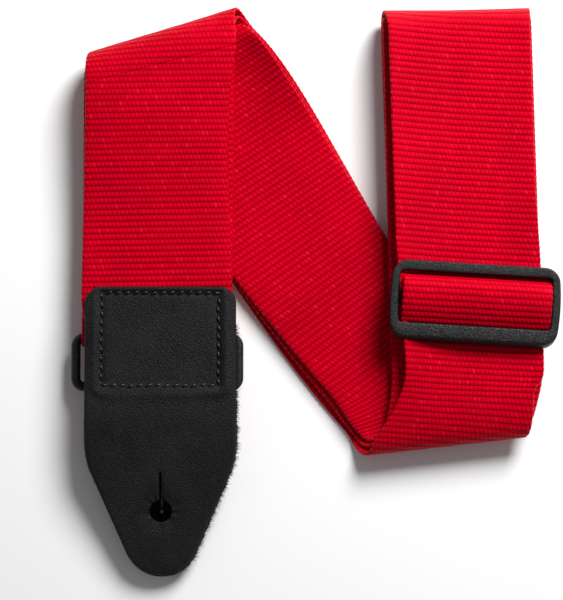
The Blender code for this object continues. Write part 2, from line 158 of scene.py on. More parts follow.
def makeWeaveGroup():
    # ribs run across the tape: rib = along / rib pitch, with each rib a rounded ridge of slanted dashes,
    # and every other rib stepped half a dash to the side
    tree, given, out = newGroup("tapeWeave", [
        ("Place", vector, None), ("Rib pitch", number, 0.00205), ("Dash pitch", number, 0.00144),
        ("Slant", number, 0.8), ("Wander", number, 0.1)],
        [("Thread", number), ("Groove", number), ("Tone", number), ("Height", number)])
    place = addNode(tree, "SeparateXYZ", i0=given["Place"])
    wander = addNode(tree, "TexNoise", Vector=given["Place"], Scale=90.0, Detail=1.0)
    drift = sums(tree, "MULTIPLY", sums(tree, "SUBTRACT", wander.outputs["Fac"], 0.5), given["Wander"])
    rib = sums(tree, "ADD", sums(tree, "DIVIDE", place.outputs["Y"], given["Rib pitch"]), drift)
    row = sums(tree, "FLOOR", rib)
    inRow = sums(tree, "SUBTRACT", rib, row)
    step = sums(tree, "MULTIPLY", sums(tree, "FLOORED_MODULO", row, 2.0), 0.5)
    lean = sums(tree, "MULTIPLY_ADD", inRow, given["Slant"], step)
    dash = sums(tree, "ADD", sums(tree, "DIVIDE", place.outputs["X"], given["Dash pitch"]), lean)
    column = sums(tree, "FLOOR", dash)
    inDash = sums(tree, "SUBTRACT", dash, column)
    ridge = sums(tree, "POWER", sums(tree, "SINE", sums(tree, "MULTIPLY", inRow, math.pi)), 0.5)
    bead = sums(tree, "POWER", sums(tree, "SINE", sums(tree, "MULTIPLY", inDash, math.pi)), 0.8)
    cell = addNode(tree, "CombineXYZ", i0=column, i1=row)
    chance = addNode(tree, "TexWhiteNoise", {"noise_dimensions": "2D"}, Vector=cell.outputs[0])
    core = sums(tree, "MULTIPLY", sums(tree, "POWER", ridge, 2.6), sums(tree, "POWER", bead, 1.7))
    tree.links.new(core, out["Thread"])
    tree.links.new(sums(tree, "SUBTRACT", 1.0, ridge), out["Groove"])
    tree.links.new(chance.outputs["Value"], out["Tone"])
    tree.links.new(sums(tree, "MULTIPLY", ridge, sums(tree, "MULTIPLY_ADD", bead, 0.35, 0.65)), out["Height"])
    return tree


def makeGrainGroup():
    # pebbled skin: cells of a Voronoi pattern sunk at their borders, on top of slow and fine noise
    tree, given, out = newGroup("skinGrain", [
        ("Place", vector, None), ("Pebbles per metre", number, 900.0), ("Pore depth", number, 0.5)],
        [("Height", number), ("Patch", number), ("Speck", number)])
    cells = addNode(tree, "TexVoronoi", {"feature": "DISTANCE_TO_EDGE"},
                    Vector=given["Place"], Scale=given["Pebbles per metre"])
    rise = sums(tree, "MINIMUM", sums(tree, "MULTIPLY", cells.outputs["Distance"], 3.0), 1.0)
    fine = addNode(tree, "TexNoise", Vector=given["Place"], Scale=2600.0, Detail=3.0)
    slow = addNode(tree, "TexNoise", Vector=given["Place"], Scale=70.0, Detail=4.0)
    pores = sums(tree, "MULTIPLY", rise, given["Pore depth"])
    mixed = sums(tree, "MULTIPLY_ADD", fine.outputs["Fac"], 0.6, pores)
    tree.links.new(mixed, out["Height"])
    tree.links.new(slow.outputs["Fac"], out["Patch"])
    tree.links.new(fine.outputs["Fac"], out["Speck"])
    return tree


weaveGroup = makeWeaveGroup()
grainGroup = makeGrainGroup()


def newMaterial(name):
    material = bpy.data.materials.new(name)
    material.use_nodes = True
    return material, material.node_tree, material.node_tree.nodes["Principled BSDF"]


def placeGroup(tree, group, **values):
    node = tree.nodes.new("ShaderNodeGroup")
    node.node_tree = group
    for label, value in values.items():
        socket = node.inputs[label.replace("_", " ")]
        if isinstance(value, bpy.types.NodeSocket):
            tree.links.new(value, socket)
        else:
            socket.default_value = value
    return node.outputs


def ramp(tree, factor, stops):
    node = addNode(tree, "ValToRGB", Fac=factor)
    elements = node.color_ramp.elements
    while len(elements) < len(stops):
        elements.new(0.5)
    for element, (position, colour) in zip(elements, stops):
        element.position = position
        element.color = (*colour, 1.0)
    return node.outputs["Color"]


def mixColour(tree, blendType, factor, first, second):
    node = tree.nodes.new("ShaderNodeMix")
    node.data_type = "RGBA"
    node.blend_type = blendType
    for socket, value in ((node.inputs[0], factor), (node.inputs[6], first), (node.inputs[7], second)):
        if isinstance(value, bpy.types.NodeSocket):
            tree.links.new(value, socket)
        else:
            socket.default_value = value if isinstance(value, float) else (*value, 1.0)
    return node.outputs[2]


# groove is painted shade in the grooves between the ribs; bright is a painted highlight on the crowns of the
# dashes, together with their brightest random tone
tapeLook = {"groove": (0.34, 0.0, 0.004), "body": (0.47, 0.0, 0.008), "bright": (0.74, 0.0, 0.020),
            "ribPitch": 2.05 * mm, "dashPitch": 1.44 * mm, "roughness": 0.52}


def makeTapeMaterial():
    material, tree, shader = newMaterial("redTape")
    lay = addNode(tree, "UVMap", {"uv_map": "lay"}).outputs[0]
    weave = placeGroup(tree, weaveGroup, Place=lay, Rib_pitch=tapeLook["ribPitch"],
                       Dash_pitch=tapeLook["dashPitch"], Slant=0.45, Wander=0.14)
    patch = addNode(tree, "TexNoise", Vector=lay, Scale=45.0, Detail=3.0).outputs["Fac"]
    lint = addNode(tree, "TexNoise", Vector=lay, Scale=3200.0, Detail=2.0).outputs["Fac"]
    # colour rises from the groove to the crown of each dash: painted shade in the grooves and a painted
    # highlight on the crowns, over the random tone of each dash and the lint
    ridge = sums(tree, "SUBTRACT", 1.0, weave["Groove"])
    tone = sums(tree, "MULTIPLY_ADD", weave["Tone"], 0.35, 0.45)
    level = sums(tree, "MULTIPLY_ADD", ridge, 0.35, sums(tree, "MULTIPLY", weave["Thread"], tone))
    level = sums(tree, "ADD", level, sums(tree, "MULTIPLY_ADD", lint, 0.3, -0.15))
    colour = ramp(tree, level, [(0.0, tapeLook["groove"]), (0.42, tapeLook["body"]),
                                (1.0, tapeLook["bright"])])
    shade = ramp(tree, patch, [(0.3, (0.84, 0.84, 0.84)), (0.7, (1.0, 1.0, 1.0))])
    colour = mixColour(tree, "MULTIPLY", 1.0, colour, shade)
    # a few dashes catch the light: the last of the random tones, only on the crown of the dash
    spark = sums(tree, "MULTIPLY", sums(tree, "POWER", weave["Tone"], 24.0), weave["Thread"])
    colour = mixColour(tree, "MIX", sums(tree, "MULTIPLY", spark, 0.3), colour, (0.95, 0.02, 0.05))
    tree.links.new(colour, shader.inputs["Base Color"])
    height = sums(tree, "MULTIPLY_ADD", lint, 0.12, weave["Height"])
    bump = addNode(tree, "Bump", Height=height, Strength=0.6, Distance=0.30 * mm)
    tree.links.new(bump.outputs[0], shader.inputs["Normal"])
    rough = sums(tree, "MULTIPLY_ADD", weave["Groove"], 0.25, tapeLook["roughness"])
    tree.links.new(rough, shader.inputs["Roughness"])
    shader.inputs["Sheen Weight"].default_value = 0.02
    shader.inputs["Sheen Roughness"].default_value = 0.4
    shader.inputs["Sheen Tint"].default_value = (1.0, 0.0, 0.05, 1.0)
    shader.inputs["Specular IOR Level"].default_value = 0.3
    shader.inputs["Specular Tint"].default_value = (1.0, 0.0, 0.08, 1.0)
    return material


leatherLook = {"dark": (0.005, 0.005, 0.007), "worn": (0.017, 0.016, 0.018), "roughness": 0.5}


def makeLeatherMaterial():
    material, tree, shader = newMaterial("blackLeather")
    place = addNode(tree, "TexCoord").outputs["Object"]
    grain = placeGroup(tree, grainGroup, Place=place, Pebbles_per_metre=1300.0, Pore_depth=0.7)
    colour = ramp(tree, grain["Patch"], [(0.3, leatherLook["dark"]), (0.75, leatherLook["worn"])])
    speck = ramp(tree, grain["Speck"], [(0.35, (0.45, 0.45, 0.45)), (0.7, (1.0, 1.0, 1.0))])
    tree.links.new(mixColour(tree, "MULTIPLY", 1.0, colour, speck), shader.inputs["Base Color"])
    bump = addNode(tree, "Bump", Height=grain["Height"], Strength=0.9, Distance=0.20 * mm)
    tree.links.new(bump.outputs[0], shader.inputs["Normal"])
    rough = sums(tree, "MULTIPLY_ADD", grain["Patch"], 0.2, leatherLook["roughness"])
    tree.links.new(rough, shader.inputs["Roughness"])
    shader.inputs["Specular IOR Level"].default_value = 0.19
    return material


def makePlasticMaterial():
    material, tree, shader = newMaterial("blackMoulding")
    place = addNode(tree, "TexCoord").outputs["Object"]
    grain = placeGroup(tree, grainGroup, Place=place, Pebbles_per_metre=2100.0, Pore_depth=0.5)
    colour = ramp(tree, grain["Patch"], [(0.3, (0.004, 0.004, 0.0045)), (0.8, (0.008, 0.008, 0.009))])
    shader.inputs["Specular IOR Level"].default_value = 0.3
    tree.links.new(colour, shader.inputs["Base Color"])
    bump = addNode(tree, "Bump", Height=grain["Height"], Strength=0.9, Distance=0.16 * mm)
    tree.links.new(bump.outputs[0], shader.inputs["Normal"])
    rough = sums(tree, "MULTIPLY_ADD", grain["Patch"], 0.15, 0.36)
    tree.links.new(rough, shader.inputs["Roughness"])
    return material


def makeThreadMaterial(name, colour, roughness):
    material, tree, shader = newMaterial(name)
    place = addNode(tree, "TexCoord").outputs["Object"]
    shader.inputs["Specular IOR Level"].default_value = 0.4
    strands = addNode(tree, "TexNoise", Vector=place, Scale=3000.0, Detail=2.0).outputs["Fac"]
    shades = ramp(tree, strands, [(0.3, tuple(0.6 * c for c in colour)), (0.7, colour)])
    tree.links.new(shades, shader.inputs["Base Color"])
    bump = addNode(tree, "Bump", Height=strands, Strength=0.4, Distance=0.08 * mm)
    tree.links.new(bump.outputs[0], shader.inputs["Normal"])
    shader.inputs["Roughness"].default_value = roughness
    return material


redTape = makeTapeMaterial()
blackLeather = makeLeatherMaterial()
blackMoulding = makePlasticMaterial()
blackThread = makeThreadMaterial("waxedThread", (0.003, 0.003, 0.0035), 0.42)
suedeFibre = makeThreadMaterial("suedeFibre", (0.012, 0.011, 0.011), 0.8)
print("materials ready")


# webbing: one 2 in tape from the leather end to its far end round the slider's bar

tape = {"width": 50.8 * mm, "thickness": 1.4 * mm, "rib": tapeLook["ribPitch"], "perRib": 4, "topPoints": 26,
        "ribHeight": 0.065 * mm, "scallop": 0.08 * mm, "edgeThin": 0.82}
lay = {
    "topFold": ((-78.76 * mm, 74.73 * mm), (-27.76 * mm, 88.03 * mm)), "topShift": 7.0 * mm,
    "bottomFold": ((16.34 * mm, -49.37 * mm), (66.84 * mm, -43.77 * mm)), "bottomShift": 8.0 * mm,
    "waist": ((-27.06 * mm, 1.53 * mm), (16.54 * mm, 29.73 * mm)),
    "rightFoot": (51.54 * mm, -31.57 * mm), "rightTop": (48.54 * mm, 89.63 * mm), "levelTo": 18.43 * mm,
    # how far before each fold the outer, middle and inner plies start to turn, and their reach past it
    "topBack": (5.0 * mm, 1.5 * mm, 2.6 * mm), "bottomBack": (10.0 * mm, 2.5 * mm, 1.6 * mm),
    "bottomNear": (0.5 * mm, 0.3 * mm, 0.6 * mm),
    "topCrest": ((5.6 * mm, 7.8 * mm), (3.2 * mm, 4.8 * mm), (0.8 * mm, 1.9 * mm)),
    "bottomCrest": ((6.7 * mm, 6.6 * mm), (3.9 * mm, 3.6 * mm), (1.8 * mm, 1.5 * mm)),
    "topLift": (3.8 * mm, 3.0 * mm, 2.0 * mm), "underTurn": 0.5 * mm,
    "bottomLead": (4.5 * mm, 2.8 * mm, 1.2 * mm), "curl": (7.0 * mm, 6.6 * mm, 6.0 * mm),
    "swell": 3.4 * mm, "swellStep": 0.8 * mm, "stagger": 1.2 * mm,
    "riseFrom": 22.0 * mm, "riseOver": 54.0 * mm,
    "leftHeading": math.radians(-1.0), "rightHeading": math.radians(3.4),
}
height = {
    "front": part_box("right_front_ply")[1][2] - 0.5 * tape["thickness"],
    "back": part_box("bottom_fold_inner_ply")[1][2] - 0.5 * tape["thickness"],
    "middle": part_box("left_middle_ply")[1][2] - 0.5 * tape["thickness"],
    "sewn": middle("webbing_sewn_end")[2],
    "return": middle("right_return_ply")[2], "upper": middle("diagonal_upper_ply")[2],
    "second": middle("diagonal_middle_ply")[2], "table": middle("diagonal_lower_ply")[2],
}
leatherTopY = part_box("upper_leather_end")[1][1]
leftX = middle("webbing_sewn_end")[0]
ringMiddle = middle("strap_ring")
ringWire = 1.6 * mm
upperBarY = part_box("strap_ring")[1][1] - ringWire
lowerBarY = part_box("strap_ring")[0][1] + ringWire
turnRadius = 2.65 * mm  # middle of the tape round a ring bar


def rails(left, right, heights, curl=0.0):
    # the two edge lines of a stretch of tape, as rows of (left, right, extras) by xyz;
    # the first of the extras is how far the right edge curls up
    heights = np.broadcast_to(np.asarray(heights, float), (len(left),))
    rows = np.zeros((len(left), 3, 3))
    rows[:, 0, :2], rows[:, 1, :2] = left, right
    rows[:, :2, 2] = heights[:, None]
    rows[:, 2, 0] = curl
    return rows


def straight(start, end, count):
    share = np.linspace(0.0, 1.0, count)[:, None]
    return np.asarray(start) * (1.0 - share) + np.asarray(end) * share


def foldFrame(line):
    along = unit(np.subtract(line[1], line[0]))
    return along, np.array([-along[1], along[0]])


def foldTurn(line, shift, outward, fromZ, toZ, backs, crests, late=1.0, lead=0.0, curl=0.0):
    # half an ellipse about the fold line: reach = sin(angle) (crest + back) - back, and
    # height = middle + radius cos(angle); it slides along the line as it turns, later at the left edge
    along, square = foldFrame(line)
    angle = np.linspace(0.0, math.pi, 61)
    radius = 0.5 * (fromZ - toZ)
    back = backs[0] + (backs[1] - backs[0]) * smoothStep(angle / math.pi)
    edges = []
    for corner, crest, power, early in zip(line, crests, (late, 1.0), (lead, 0.0)):
        reach = (np.sin(angle) * (crest + back) - back) * outward
        slide = shift * (angle / math.pi) ** power - early * (1.0 - angle / math.pi)
        edges.append(np.asarray(corner) + np.outer(slide, along) + np.outer(reach, square))
    heights = 0.5 * (fromZ + toZ) + radius * np.cos(angle)
    return rails(edges[0], edges[1], heights, curl * (angle / math.pi) ** 2)


def leftLeg(footY, footZ, topZ, foldZ, back, levelFrom):
    # straight up from the foot to the fold line; the height eases from footZ to topZ by levelFrom,
    # and from there the ply rises into the fold
    square = foldFrame(lay["topFold"])[1]
    top = np.asarray(lay["topFold"]) - back * square
    half = 0.5 * tape["width"]
    feet = ((leftX - half, footY), (leftX + half, footY))
    left = straight(feet[0], top[0], 120)
    right = straight(feet[1], top[1], 120)

    climb = smoothStep((left[:, 1] - footY) / (levelFrom - footY))
    rise = (foldZ - topZ) * smoothStep((left[:, 1] - lay["riseFrom"]) / lay["riseOver"])
    return rails(left, right, footZ + (topZ - footZ) * climb + rise)


def diagonal(z, foldZ, backTop, backFoot, ply):
    # each edge is the parabola through its two fold corners and the waist; the right edge swells outwards
    # below the top fold and curls up there, and the left edge of each ply nearer the face stands further in
    # towards the foot
    alongTop, squareTop = foldFrame(lay["topFold"])
    alongFoot, squareFoot = foldFrame(lay["bottomFold"])
    top = np.asarray(lay["topFold"]) + lay["topShift"] * alongTop - backTop * squareTop
    foot = np.asarray(lay["bottomFold"]) + backFoot * squareFoot
    foot[0] -= lay["bottomLead"][ply] * alongFoot
    share = np.linspace(0.0, 1.0, 160)[:, None]
    first = 2.0 * (share - 0.5) * (share - 1.0)
    second = 4.0 * share * (1.0 - share)
    third = 2.0 * share * (share - 0.5)
    edges = [first * top[k] + second * np.asarray(lay["waist"][k]) + third * foot[k] for k in (0, 1)]
    swell = np.sin(math.pi * np.clip(share / 0.62, 0.0, 1.0) ** 0.7)
    edges[1] = edges[1] + swell * (lay["swell"] - ply * lay["swellStep"]) * np.array([0.87, 0.5])
    inset = smoothStep((share - 0.25) / 0.5) * (1.0 - smoothStep((share - 0.85) / 0.15))
    edges[0] = edges[0] + inset * ply * lay["stagger"] * np.array([0.80, 0.60])
    curl = lay["curl"][ply] * smoothStep(1.0 - share[:, 0] / 0.42)
    return rails(edges[0], edges[1], z + (foldZ - z) * smoothStep(1.0 - share[:, 0] / 0.35), curl)


upLeg = unit(np.subtract(lay["rightTop"], lay["rightFoot"]))
acrossLeg = np.array([upLeg[1], -upLeg[0]])


def rightLeg(footZ, topZ, back, footY=None):
    # straight from the bottom fold, or from footY, to the top loop; level over the diagonal, then easing
    # down to topZ
    along, square = foldFrame(lay["bottomFold"])
    leave = np.asarray(lay["bottomFold"]) + lay["bottomShift"] * along + back * square
    centres = straight(lay["rightFoot"], lay["rightTop"], 140)
    left = centres - 0.5 * tape["width"] * acrossLeg
    right = centres + 0.5 * tape["width"] * acrossLeg
    if footY is None:
        left = np.vstack([straight(leave[0], left[0], 20)[:-1], left])
        right = np.vstack([straight(leave[1], right[0], 20)[:-1], right])
    else:
        kept = centres[:, 1] >= footY
        left, right = left[kept], right[kept]
    middleY = 0.5 * (left[:, 1] + right[:, 1])
    sink = smoothStep((middleY - lay["levelTo"]) / (lay["rightTop"][1] - lay["levelTo"]))
    return rails(left, right, footZ + (topZ - footZ) * sink)


def topLoop(fromZ, toZ):
    angle = np.linspace(0.0, math.pi, 33)
    radius = 0.5 * (fromZ - toZ)
    centres = np.asarray(lay["rightTop"]) + np.outer(abs(radius) * np.sin(angle), upLeg)
    half = 0.5 * tape["width"] * acrossLeg
    return rails(centres - half, centres + half, 0.5 * (fromZ + toZ) + radius * np.cos(angle))


def acrossLeft(profile):
    # a (y, z) profile carried straight across the left leg
    profile = np.asarray(profile)
    half = 0.5 * tape["width"]
    left = np.column_stack([np.full(len(profile), leftX - half), profile[:, 0]])
    right = np.column_stack([np.full(len(profile), leftX + half), profile[:, 0]])
    return rails(left, right, profile[:, 1])


def barTurn(barY, side):
    # half a circle round a ring bar, from above it to beneath it
    angle = np.linspace(0.0, math.pi, 25)
    y = barY + side * turnRadius * np.sin(angle)
    return np.column_stack([y, ringMiddle[2] + turnRadius * np.cos(angle)])


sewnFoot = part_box("webbing_sewn_end")[0][1]
topOuterBack, topMiddleBack, topInnerBack = lay["topBack"]
footOuterBack, footMiddleBack, footInnerBack = lay["bottomBack"]
nearOuter, nearMiddle, nearInner = lay["bottomNear"]
outerLift, middleLift, innerLift = (
    height[ply] + up for ply, up in zip(("sewn", "middle", "back"), lay["topLift"]))
upperLift = height["upper"] + 1.2 * mm
under = lay["underTurn"]
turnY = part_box("ring_turn_ply")[1][1]
lowTurnZ = ringMiddle[2] - turnRadius
levelLeg = leatherTopY + 1.0  # past the leg's end: this ply doesn't climb
nearRing = turnY + 16.0 * mm


def topTurn(fromZ, toZ, backs, ply):
    return foldTurn(lay["topFold"], lay["topShift"], 1.0, fromZ, toZ, backs, lay["topCrest"][ply],
                    curl=lay["curl"][ply])


def bottomTurn(fromZ, toZ, backs, ply):
    return foldTurn(lay["bottomFold"], lay["bottomShift"], -1.0, fromZ, toZ, backs, lay["bottomCrest"][ply],
                    late=2.0, lead=lay["bottomLead"][ply])


# every stretch in the order in which the tape runs
run = [
    ("sewnEnd", acrossLeft(straight((sewnFoot, height["sewn"]), (leatherTopY, height["sewn"]), 80))),
    ("leftFront", leftLeg(leatherTopY, height["sewn"], height["sewn"], outerLift, topOuterBack, levelLeg)),
    ("topOuter", topTurn(outerLift, height["table"], (topOuterBack, under), 0)),
    ("diagonalLower", diagonal(height["table"], height["table"], under, nearOuter, 0)),
    ("bottomOuter", bottomTurn(height["table"], height["front"], (nearOuter, footOuterBack), 0)),
    ("rightFront", rightLeg(height["front"], height["front"], footOuterBack)),
    ("topLoopOuter", topLoop(height["front"], height["table"])),
    ("rightBack", rightLeg(height["back"], height["table"], footInnerBack)[::-1]),
    ("bottomInner", bottomTurn(height["upper"], height["back"], (nearInner, footInnerBack), 2)[::-1]),
    ("diagonalUpper", diagonal(height["upper"], upperLift, topInnerBack, nearInner, 2)[::-1]),
    ("topInner", topTurn(innerLift, upperLift, (topInnerBack, topInnerBack), 2)[::-1]),
    ("leftBack", leftLeg(turnY, lowTurnZ, height["back"], innerLift, topInnerBack, nearRing)[::-1]),
    ("ringTurn", acrossLeft(barTurn(upperBarY, -1.0)[::-1])),
    ("leftMiddle", leftLeg(turnY, ringMiddle[2] + turnRadius, height["middle"], middleLift, topMiddleBack,
                           nearRing)),
    ("topMiddle", topTurn(middleLift, height["second"], (topMiddleBack, topMiddleBack), 1)),
    ("diagonalMiddle", diagonal(height["second"], height["second"], topMiddleBack, nearMiddle, 1)),
    ("bottomMiddle", bottomTurn(height["second"], height["middle"], (nearMiddle, footMiddleBack), 1)),
    ("rightMiddle", rightLeg(height["middle"], height["second"], footMiddleBack)),
    ("topLoopInner", topLoop(height["return"], height["second"])[::-1]),
    ("rightReturn", rightLeg(height["return"], height["return"], 0.0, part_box("right_return_ply")[0][1])[::-1])
]


# how far each turn is smoothed, in mm; what isn't named takes the legs' reach
softness = {"sewnEnd": 0.9, "topOuter": 1.8, "topMiddle": 1.2, "topInner": 0.9, "bottomOuter": 2.0,
            "bottomMiddle": 1.2, "bottomInner": 0.9, "topLoopOuter": 1.6, "topLoopInner": 1.4,
            "ringTurn": 0.9, "rightReturn": 1.2}
tightReach, legReach = 0.9, 2.6


def resample(path, spacing):
    # evenly spaced rows by the length of the line midway between the edges
    centre = path[:, :2].mean(axis=1)
    length = np.concatenate([[0.0], np.cumsum(np.linalg.norm(np.diff(centre, axis=0), axis=1))])
    even = np.arange(0.0, length[-1], spacing)
    flat = path.reshape(len(path), -1)
    rows = np.column_stack([np.interp(even, length, flat[:, k]) for k in range(9)])
    return rows.reshape(-1, 3, 3), length


def soften(rows, reach):
    # each row becomes the average of its neighbours, weighted by a bell curve of the given reach
    spacing = tape["rib"] / tape["perRib"]
    count = int(4.0 * reach / spacing)
    bell = np.exp(-0.5 * (np.arange(-count, count + 1) * spacing / reach) ** 2)
    bell /= bell.sum()
    flat = rows.reshape(len(rows), -1)
    before = 2.0 * flat[0] - flat[count:0:-1]
    after = 2.0 * flat[-1] - flat[-2:-count - 2:-1]
    padded = np.vstack([before, flat, after])
    return np.column_stack([np.convolve(padded[:, k], bell, "valid") for k in range(9)]).reshape(-1, 3, 3)


def tapeSection():
    # closed outline of the tape: across from -1 to 1 and level from -1 to 1, with half-round selvedges
    edge = 0.024
    top = np.linspace(-1.0 + edge, 1.0 - edge, tape["topPoints"])
    turn = np.radians(np.array([60.0, 0.0, -60.0]))
    across = np.concatenate([top, 1.0 - edge + edge * np.cos(turn), top[::-1],
                             -1.0 + edge - edge * np.cos(turn)])
    level = np.concatenate([np.ones_like(top), np.sin(turn), -np.ones_like(top), np.sin(-turn)])
    return across, level


def tapeSurface(rows, start, bow, skew=None):
    # point = centre line + across times (half width and slide) + normal times (half thickness, ribs and
    # lift); skew is how far the tape's rows lean along its length from one edge to the middle
    across, level = tapeSection()
    spacing = tape["rib"] / tape["perRib"]
    centre = rows[:, :2].mean(axis=1)
    side = 0.5 * (rows[:, 1] - rows[:, 0])
    ahead = unit(np.gradient(centre, axis=0))
    normal = unit(np.cross(side, ahead))
    skew = (side * ahead).sum(axis=1) if skew is None else skew
    along = start + spacing * np.arange(len(rows))[:, None] + skew[:, None] * across
    ribs = np.cos(2.0 * math.pi * along / tape["rib"] - math.pi)
    ribs = np.where(level >= 0.0, ribs, -ribs)
    thick = 0.5 * tape["thickness"] * (1.0 - (1.0 - tape["edgeThin"]) * across ** 8) - tape["ribHeight"]
    lift = level * (thick + tape["ribHeight"] * (1.0 + ribs) * np.abs(level))
    bowLift, bowSlide = bow(centre, across)
    lift = lift + bowLift
    wide = across * (1.0 + tape["scallop"] / (0.5 * tape["width"]) * ribs * across ** 6)
    points = centre[:, None] + side[:, None] * wide[..., None] + normal[:, None] * lift[..., None]
    points = points + unit(side)[:, None] * np.broadcast_to(bowSlide, wide.shape)[..., None]
    points[..., 2] += rows[:, 2, :1] * np.maximum(across, 0.0) ** 2.4
    uv = np.stack([np.broadcast_to(across * 0.5 * tape["width"], along.shape), along], axis=-1)
    return points, uv


def noBow(centre, across):
    return 0.0, 0.0


sewnDrift = {"side": 1.7 * mm, "from": 3.0 * mm, "over": 16.0 * mm, "narrowing": 0.3}


def endBow(centre, across):
    # the sewn end drifts to the right under the leather, and narrows
    share = smoothStep((leatherTopY - sewnDrift["from"] - centre[:, 1]) / sewnDrift["over"])
    drift = sewnDrift["side"] * share
    return 0.0, drift[:, None] * (1.0 - sewnDrift["narrowing"] * across)


faceBow = {
    "fromX": 20.0 * mm, "overX": 10.0 * mm, "cupFrom": -46.0 * mm, "cupOver": 26.0 * mm,
    "drawFrom": -50.0 * mm, "drawOver": 10.0 * mm, "endY": 98.0 * mm, "endOver": 10.0 * mm,
    # how far the left edge is drawn in, at these places up the leg
    "pinchY": (-46.0 * mm, -38.0 * mm, -24.0 * mm, 0.0, 16.0 * mm, 96.0 * mm),
    "pinch": (1.5 * mm, 4.0 * mm, 4.2 * mm, 3.0 * mm, 2.1 * mm, 1.7 * mm),
    "rightIn": 0.9 * mm, "rightFrom": 6.0 * mm, "rightOver": 30.0 * mm, "cup": 2.6 * mm, "cupTilt": 1.2 * mm,
    "flatMiddle": 0.02,
}


def frontBow(centre, across):
    # the right leg's face ply lifts at both edges, more at the left, away from the folds
    above = smoothStep((centre[:, 2] - height["second"]) / (height["return"] - height["second"]))
    y = centre[:, 1]
    onRight = smoothStep((centre[:, 0] - faceBow["fromX"]) / faceBow["overX"]) * above
    ending = smoothStep((faceBow["endY"] - y) / faceBow["endOver"])
    drawn = smoothStep((y - faceBow["drawFrom"]) / faceBow["drawOver"]) * ending
    share = smoothStep((y - faceBow["cupFrom"]) / faceBow["cupOver"]) * ending
    pinch = np.interp(y, faceBow["pinchY"], faceBow["pinch"])
    rightIn = faceBow["rightIn"] * smoothStep((y - faceBow["rightFrom"]) / faceBow["rightOver"])
    drawIn = np.where(across < 0.0, pinch[:, None] * across ** 2, -rightIn[:, None] * across ** 2)
    cup = (faceBow["cup"] * across ** 2 - faceBow["cupTilt"] * across) * (across ** 2 > faceBow["flatMiddle"])
    return (share * onRight)[:, None] * np.maximum(cup, 0.0), (drawn * onRight)[:, None] * drawIn


crown = {"height": 1.3 * mm, "from": 6.0 * mm, "over": 40.0 * mm, "fade": 20.0 * mm, "waistIn": 2.4 * mm,
         "short": 0.3 * mm}


def crownBow(centre, across):
    # the left leg's face ply is crowned on its way up, and level again where the top fold begins;
    # its right edge is drawn in most a little above the middle
    endY = 0.5 * (lay["topFold"][0][1] + lay["topFold"][1][1]) - lay["topBack"][0] - crown["short"]
    share = smoothStep((centre[:, 1] - leatherTopY - crown["from"]) / crown["over"])
    share = share * smoothStep((endY - centre[:, 1]) / crown["fade"])
    rise = np.clip((centre[:, 1] - leatherTopY) / (endY - leatherTopY), 0.0, 1.0)
    waist = crown["waistIn"] * np.sin(math.pi * rise ** 1.5)
    return share[:, None] * crown["height"] * (1.0 - across ** 2), -waist[:, None] * (0.5 + 0.5 * across) ** 2


def makeTape():
    joined = []
    marks = {}
    for name, stretch in run:
        begin = sum(len(part) for part in joined)
        joined.append(stretch)
        marks[name] = (begin, begin + len(stretch) - 1)
    path = np.concatenate(joined)
    spacing = tape["rib"] / tape["perRib"]
    rows, length = resample(path, spacing)
    spans = {name: (length[a] / spacing, length[b] / spacing) for name, (a, b) in marks.items()}
    reach = np.empty(len(rows))
    for name, (a, b) in spans.items():
        reach[int(a):int(b) + 2] = softness.get(name, legReach)
    reach = soften(np.repeat(reach, 9).reshape(-1, 3, 3), 1.5 * mm)[:, :1, :1]
    tight, wide = soften(rows, tightReach * mm), soften(rows, legReach * mm)
    rows = tight + (wide - tight) * np.clip((reach - tightReach) / (legReach - tightReach), 0.0, 1.0)
    return rows, spans, length[-1]


def tapeLean(rows, spans):
    # on a leg the weft keeps square to the leg's own heading; through a fold the lean passes evenly between
    side = 0.5 * (rows[:, 1] - rows[:, 0])
    centre = rows[:, :2].mean(axis=1)
    reach = 30  # rows, to read a heading without the ribs and bends
    ahead = np.empty_like(centre)
    ahead[reach:-reach] = centre[2 * reach:] - centre[:-2 * reach]
    ahead[:reach], ahead[-reach:] = ahead[reach], ahead[-reach - 1]
    ahead[:, 2] = 0.0
    ahead = unit(ahead + [1e-9, 0.0, 0.0])  # never quite zero
    lean = np.full(len(rows), np.nan)
    for name, (a, b) in spans.items():
        a, b = int(a) + 3, int(b) - 2
        if name.startswith("right") or name.startswith("left") or name == "sewnEnd":
            heading = lay["rightHeading"] if name.startswith("right") else lay["leftHeading"]
            sign = -1.0 if name in ("rightBack", "leftBack", "rightReturn") else 1.0
            lean[a:b] = sign * (side[a:b, :2] @ np.array([math.sin(heading), math.cos(heading)]))
        elif name.startswith("diagonal"):
            lean[a + reach:b - reach] = (side * ahead).sum(axis=1)[a + reach:b - reach]
    known = ~np.isnan(lean)
    index = np.arange(len(rows))
    return np.interp(index, index[known], lean[known])


tapeRows, spans, tapeLength = makeTape()
tapeSkew = tapeLean(tapeRows, spans)
print("tape laid out, %.3f m" % tapeLength)


def tapePiece(name, first, last, nodes, body, bow=noBow):
    # one stretch of the tape, cut square between two ribs at each end
    perRib = tape["perRib"]
    begin = 0 if first is None else int(round(spans[first][0] / perRib)) * perRib
    end = len(tapeRows) - 1 if last is None else int(round(spans[last][1] / perRib)) * perRib
    spacing = tape["rib"] / perRib
    margin = 3
    low = max(begin - margin, 0)
    high = min(end + margin, len(tapeRows) - 1)
    points, uv = tapeSurface(tapeRows[low:high + 1], low * spacing, bow, tapeSkew[low:high + 1])
    cut = slice(begin - low, end - low + 1)
    piece = gridPiece(name, points[cut], redTape, wrapColumns=True, caps=True, uv=uv[cut])
    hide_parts(*nodes)
    if body:
        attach(piece, body)
    return piece


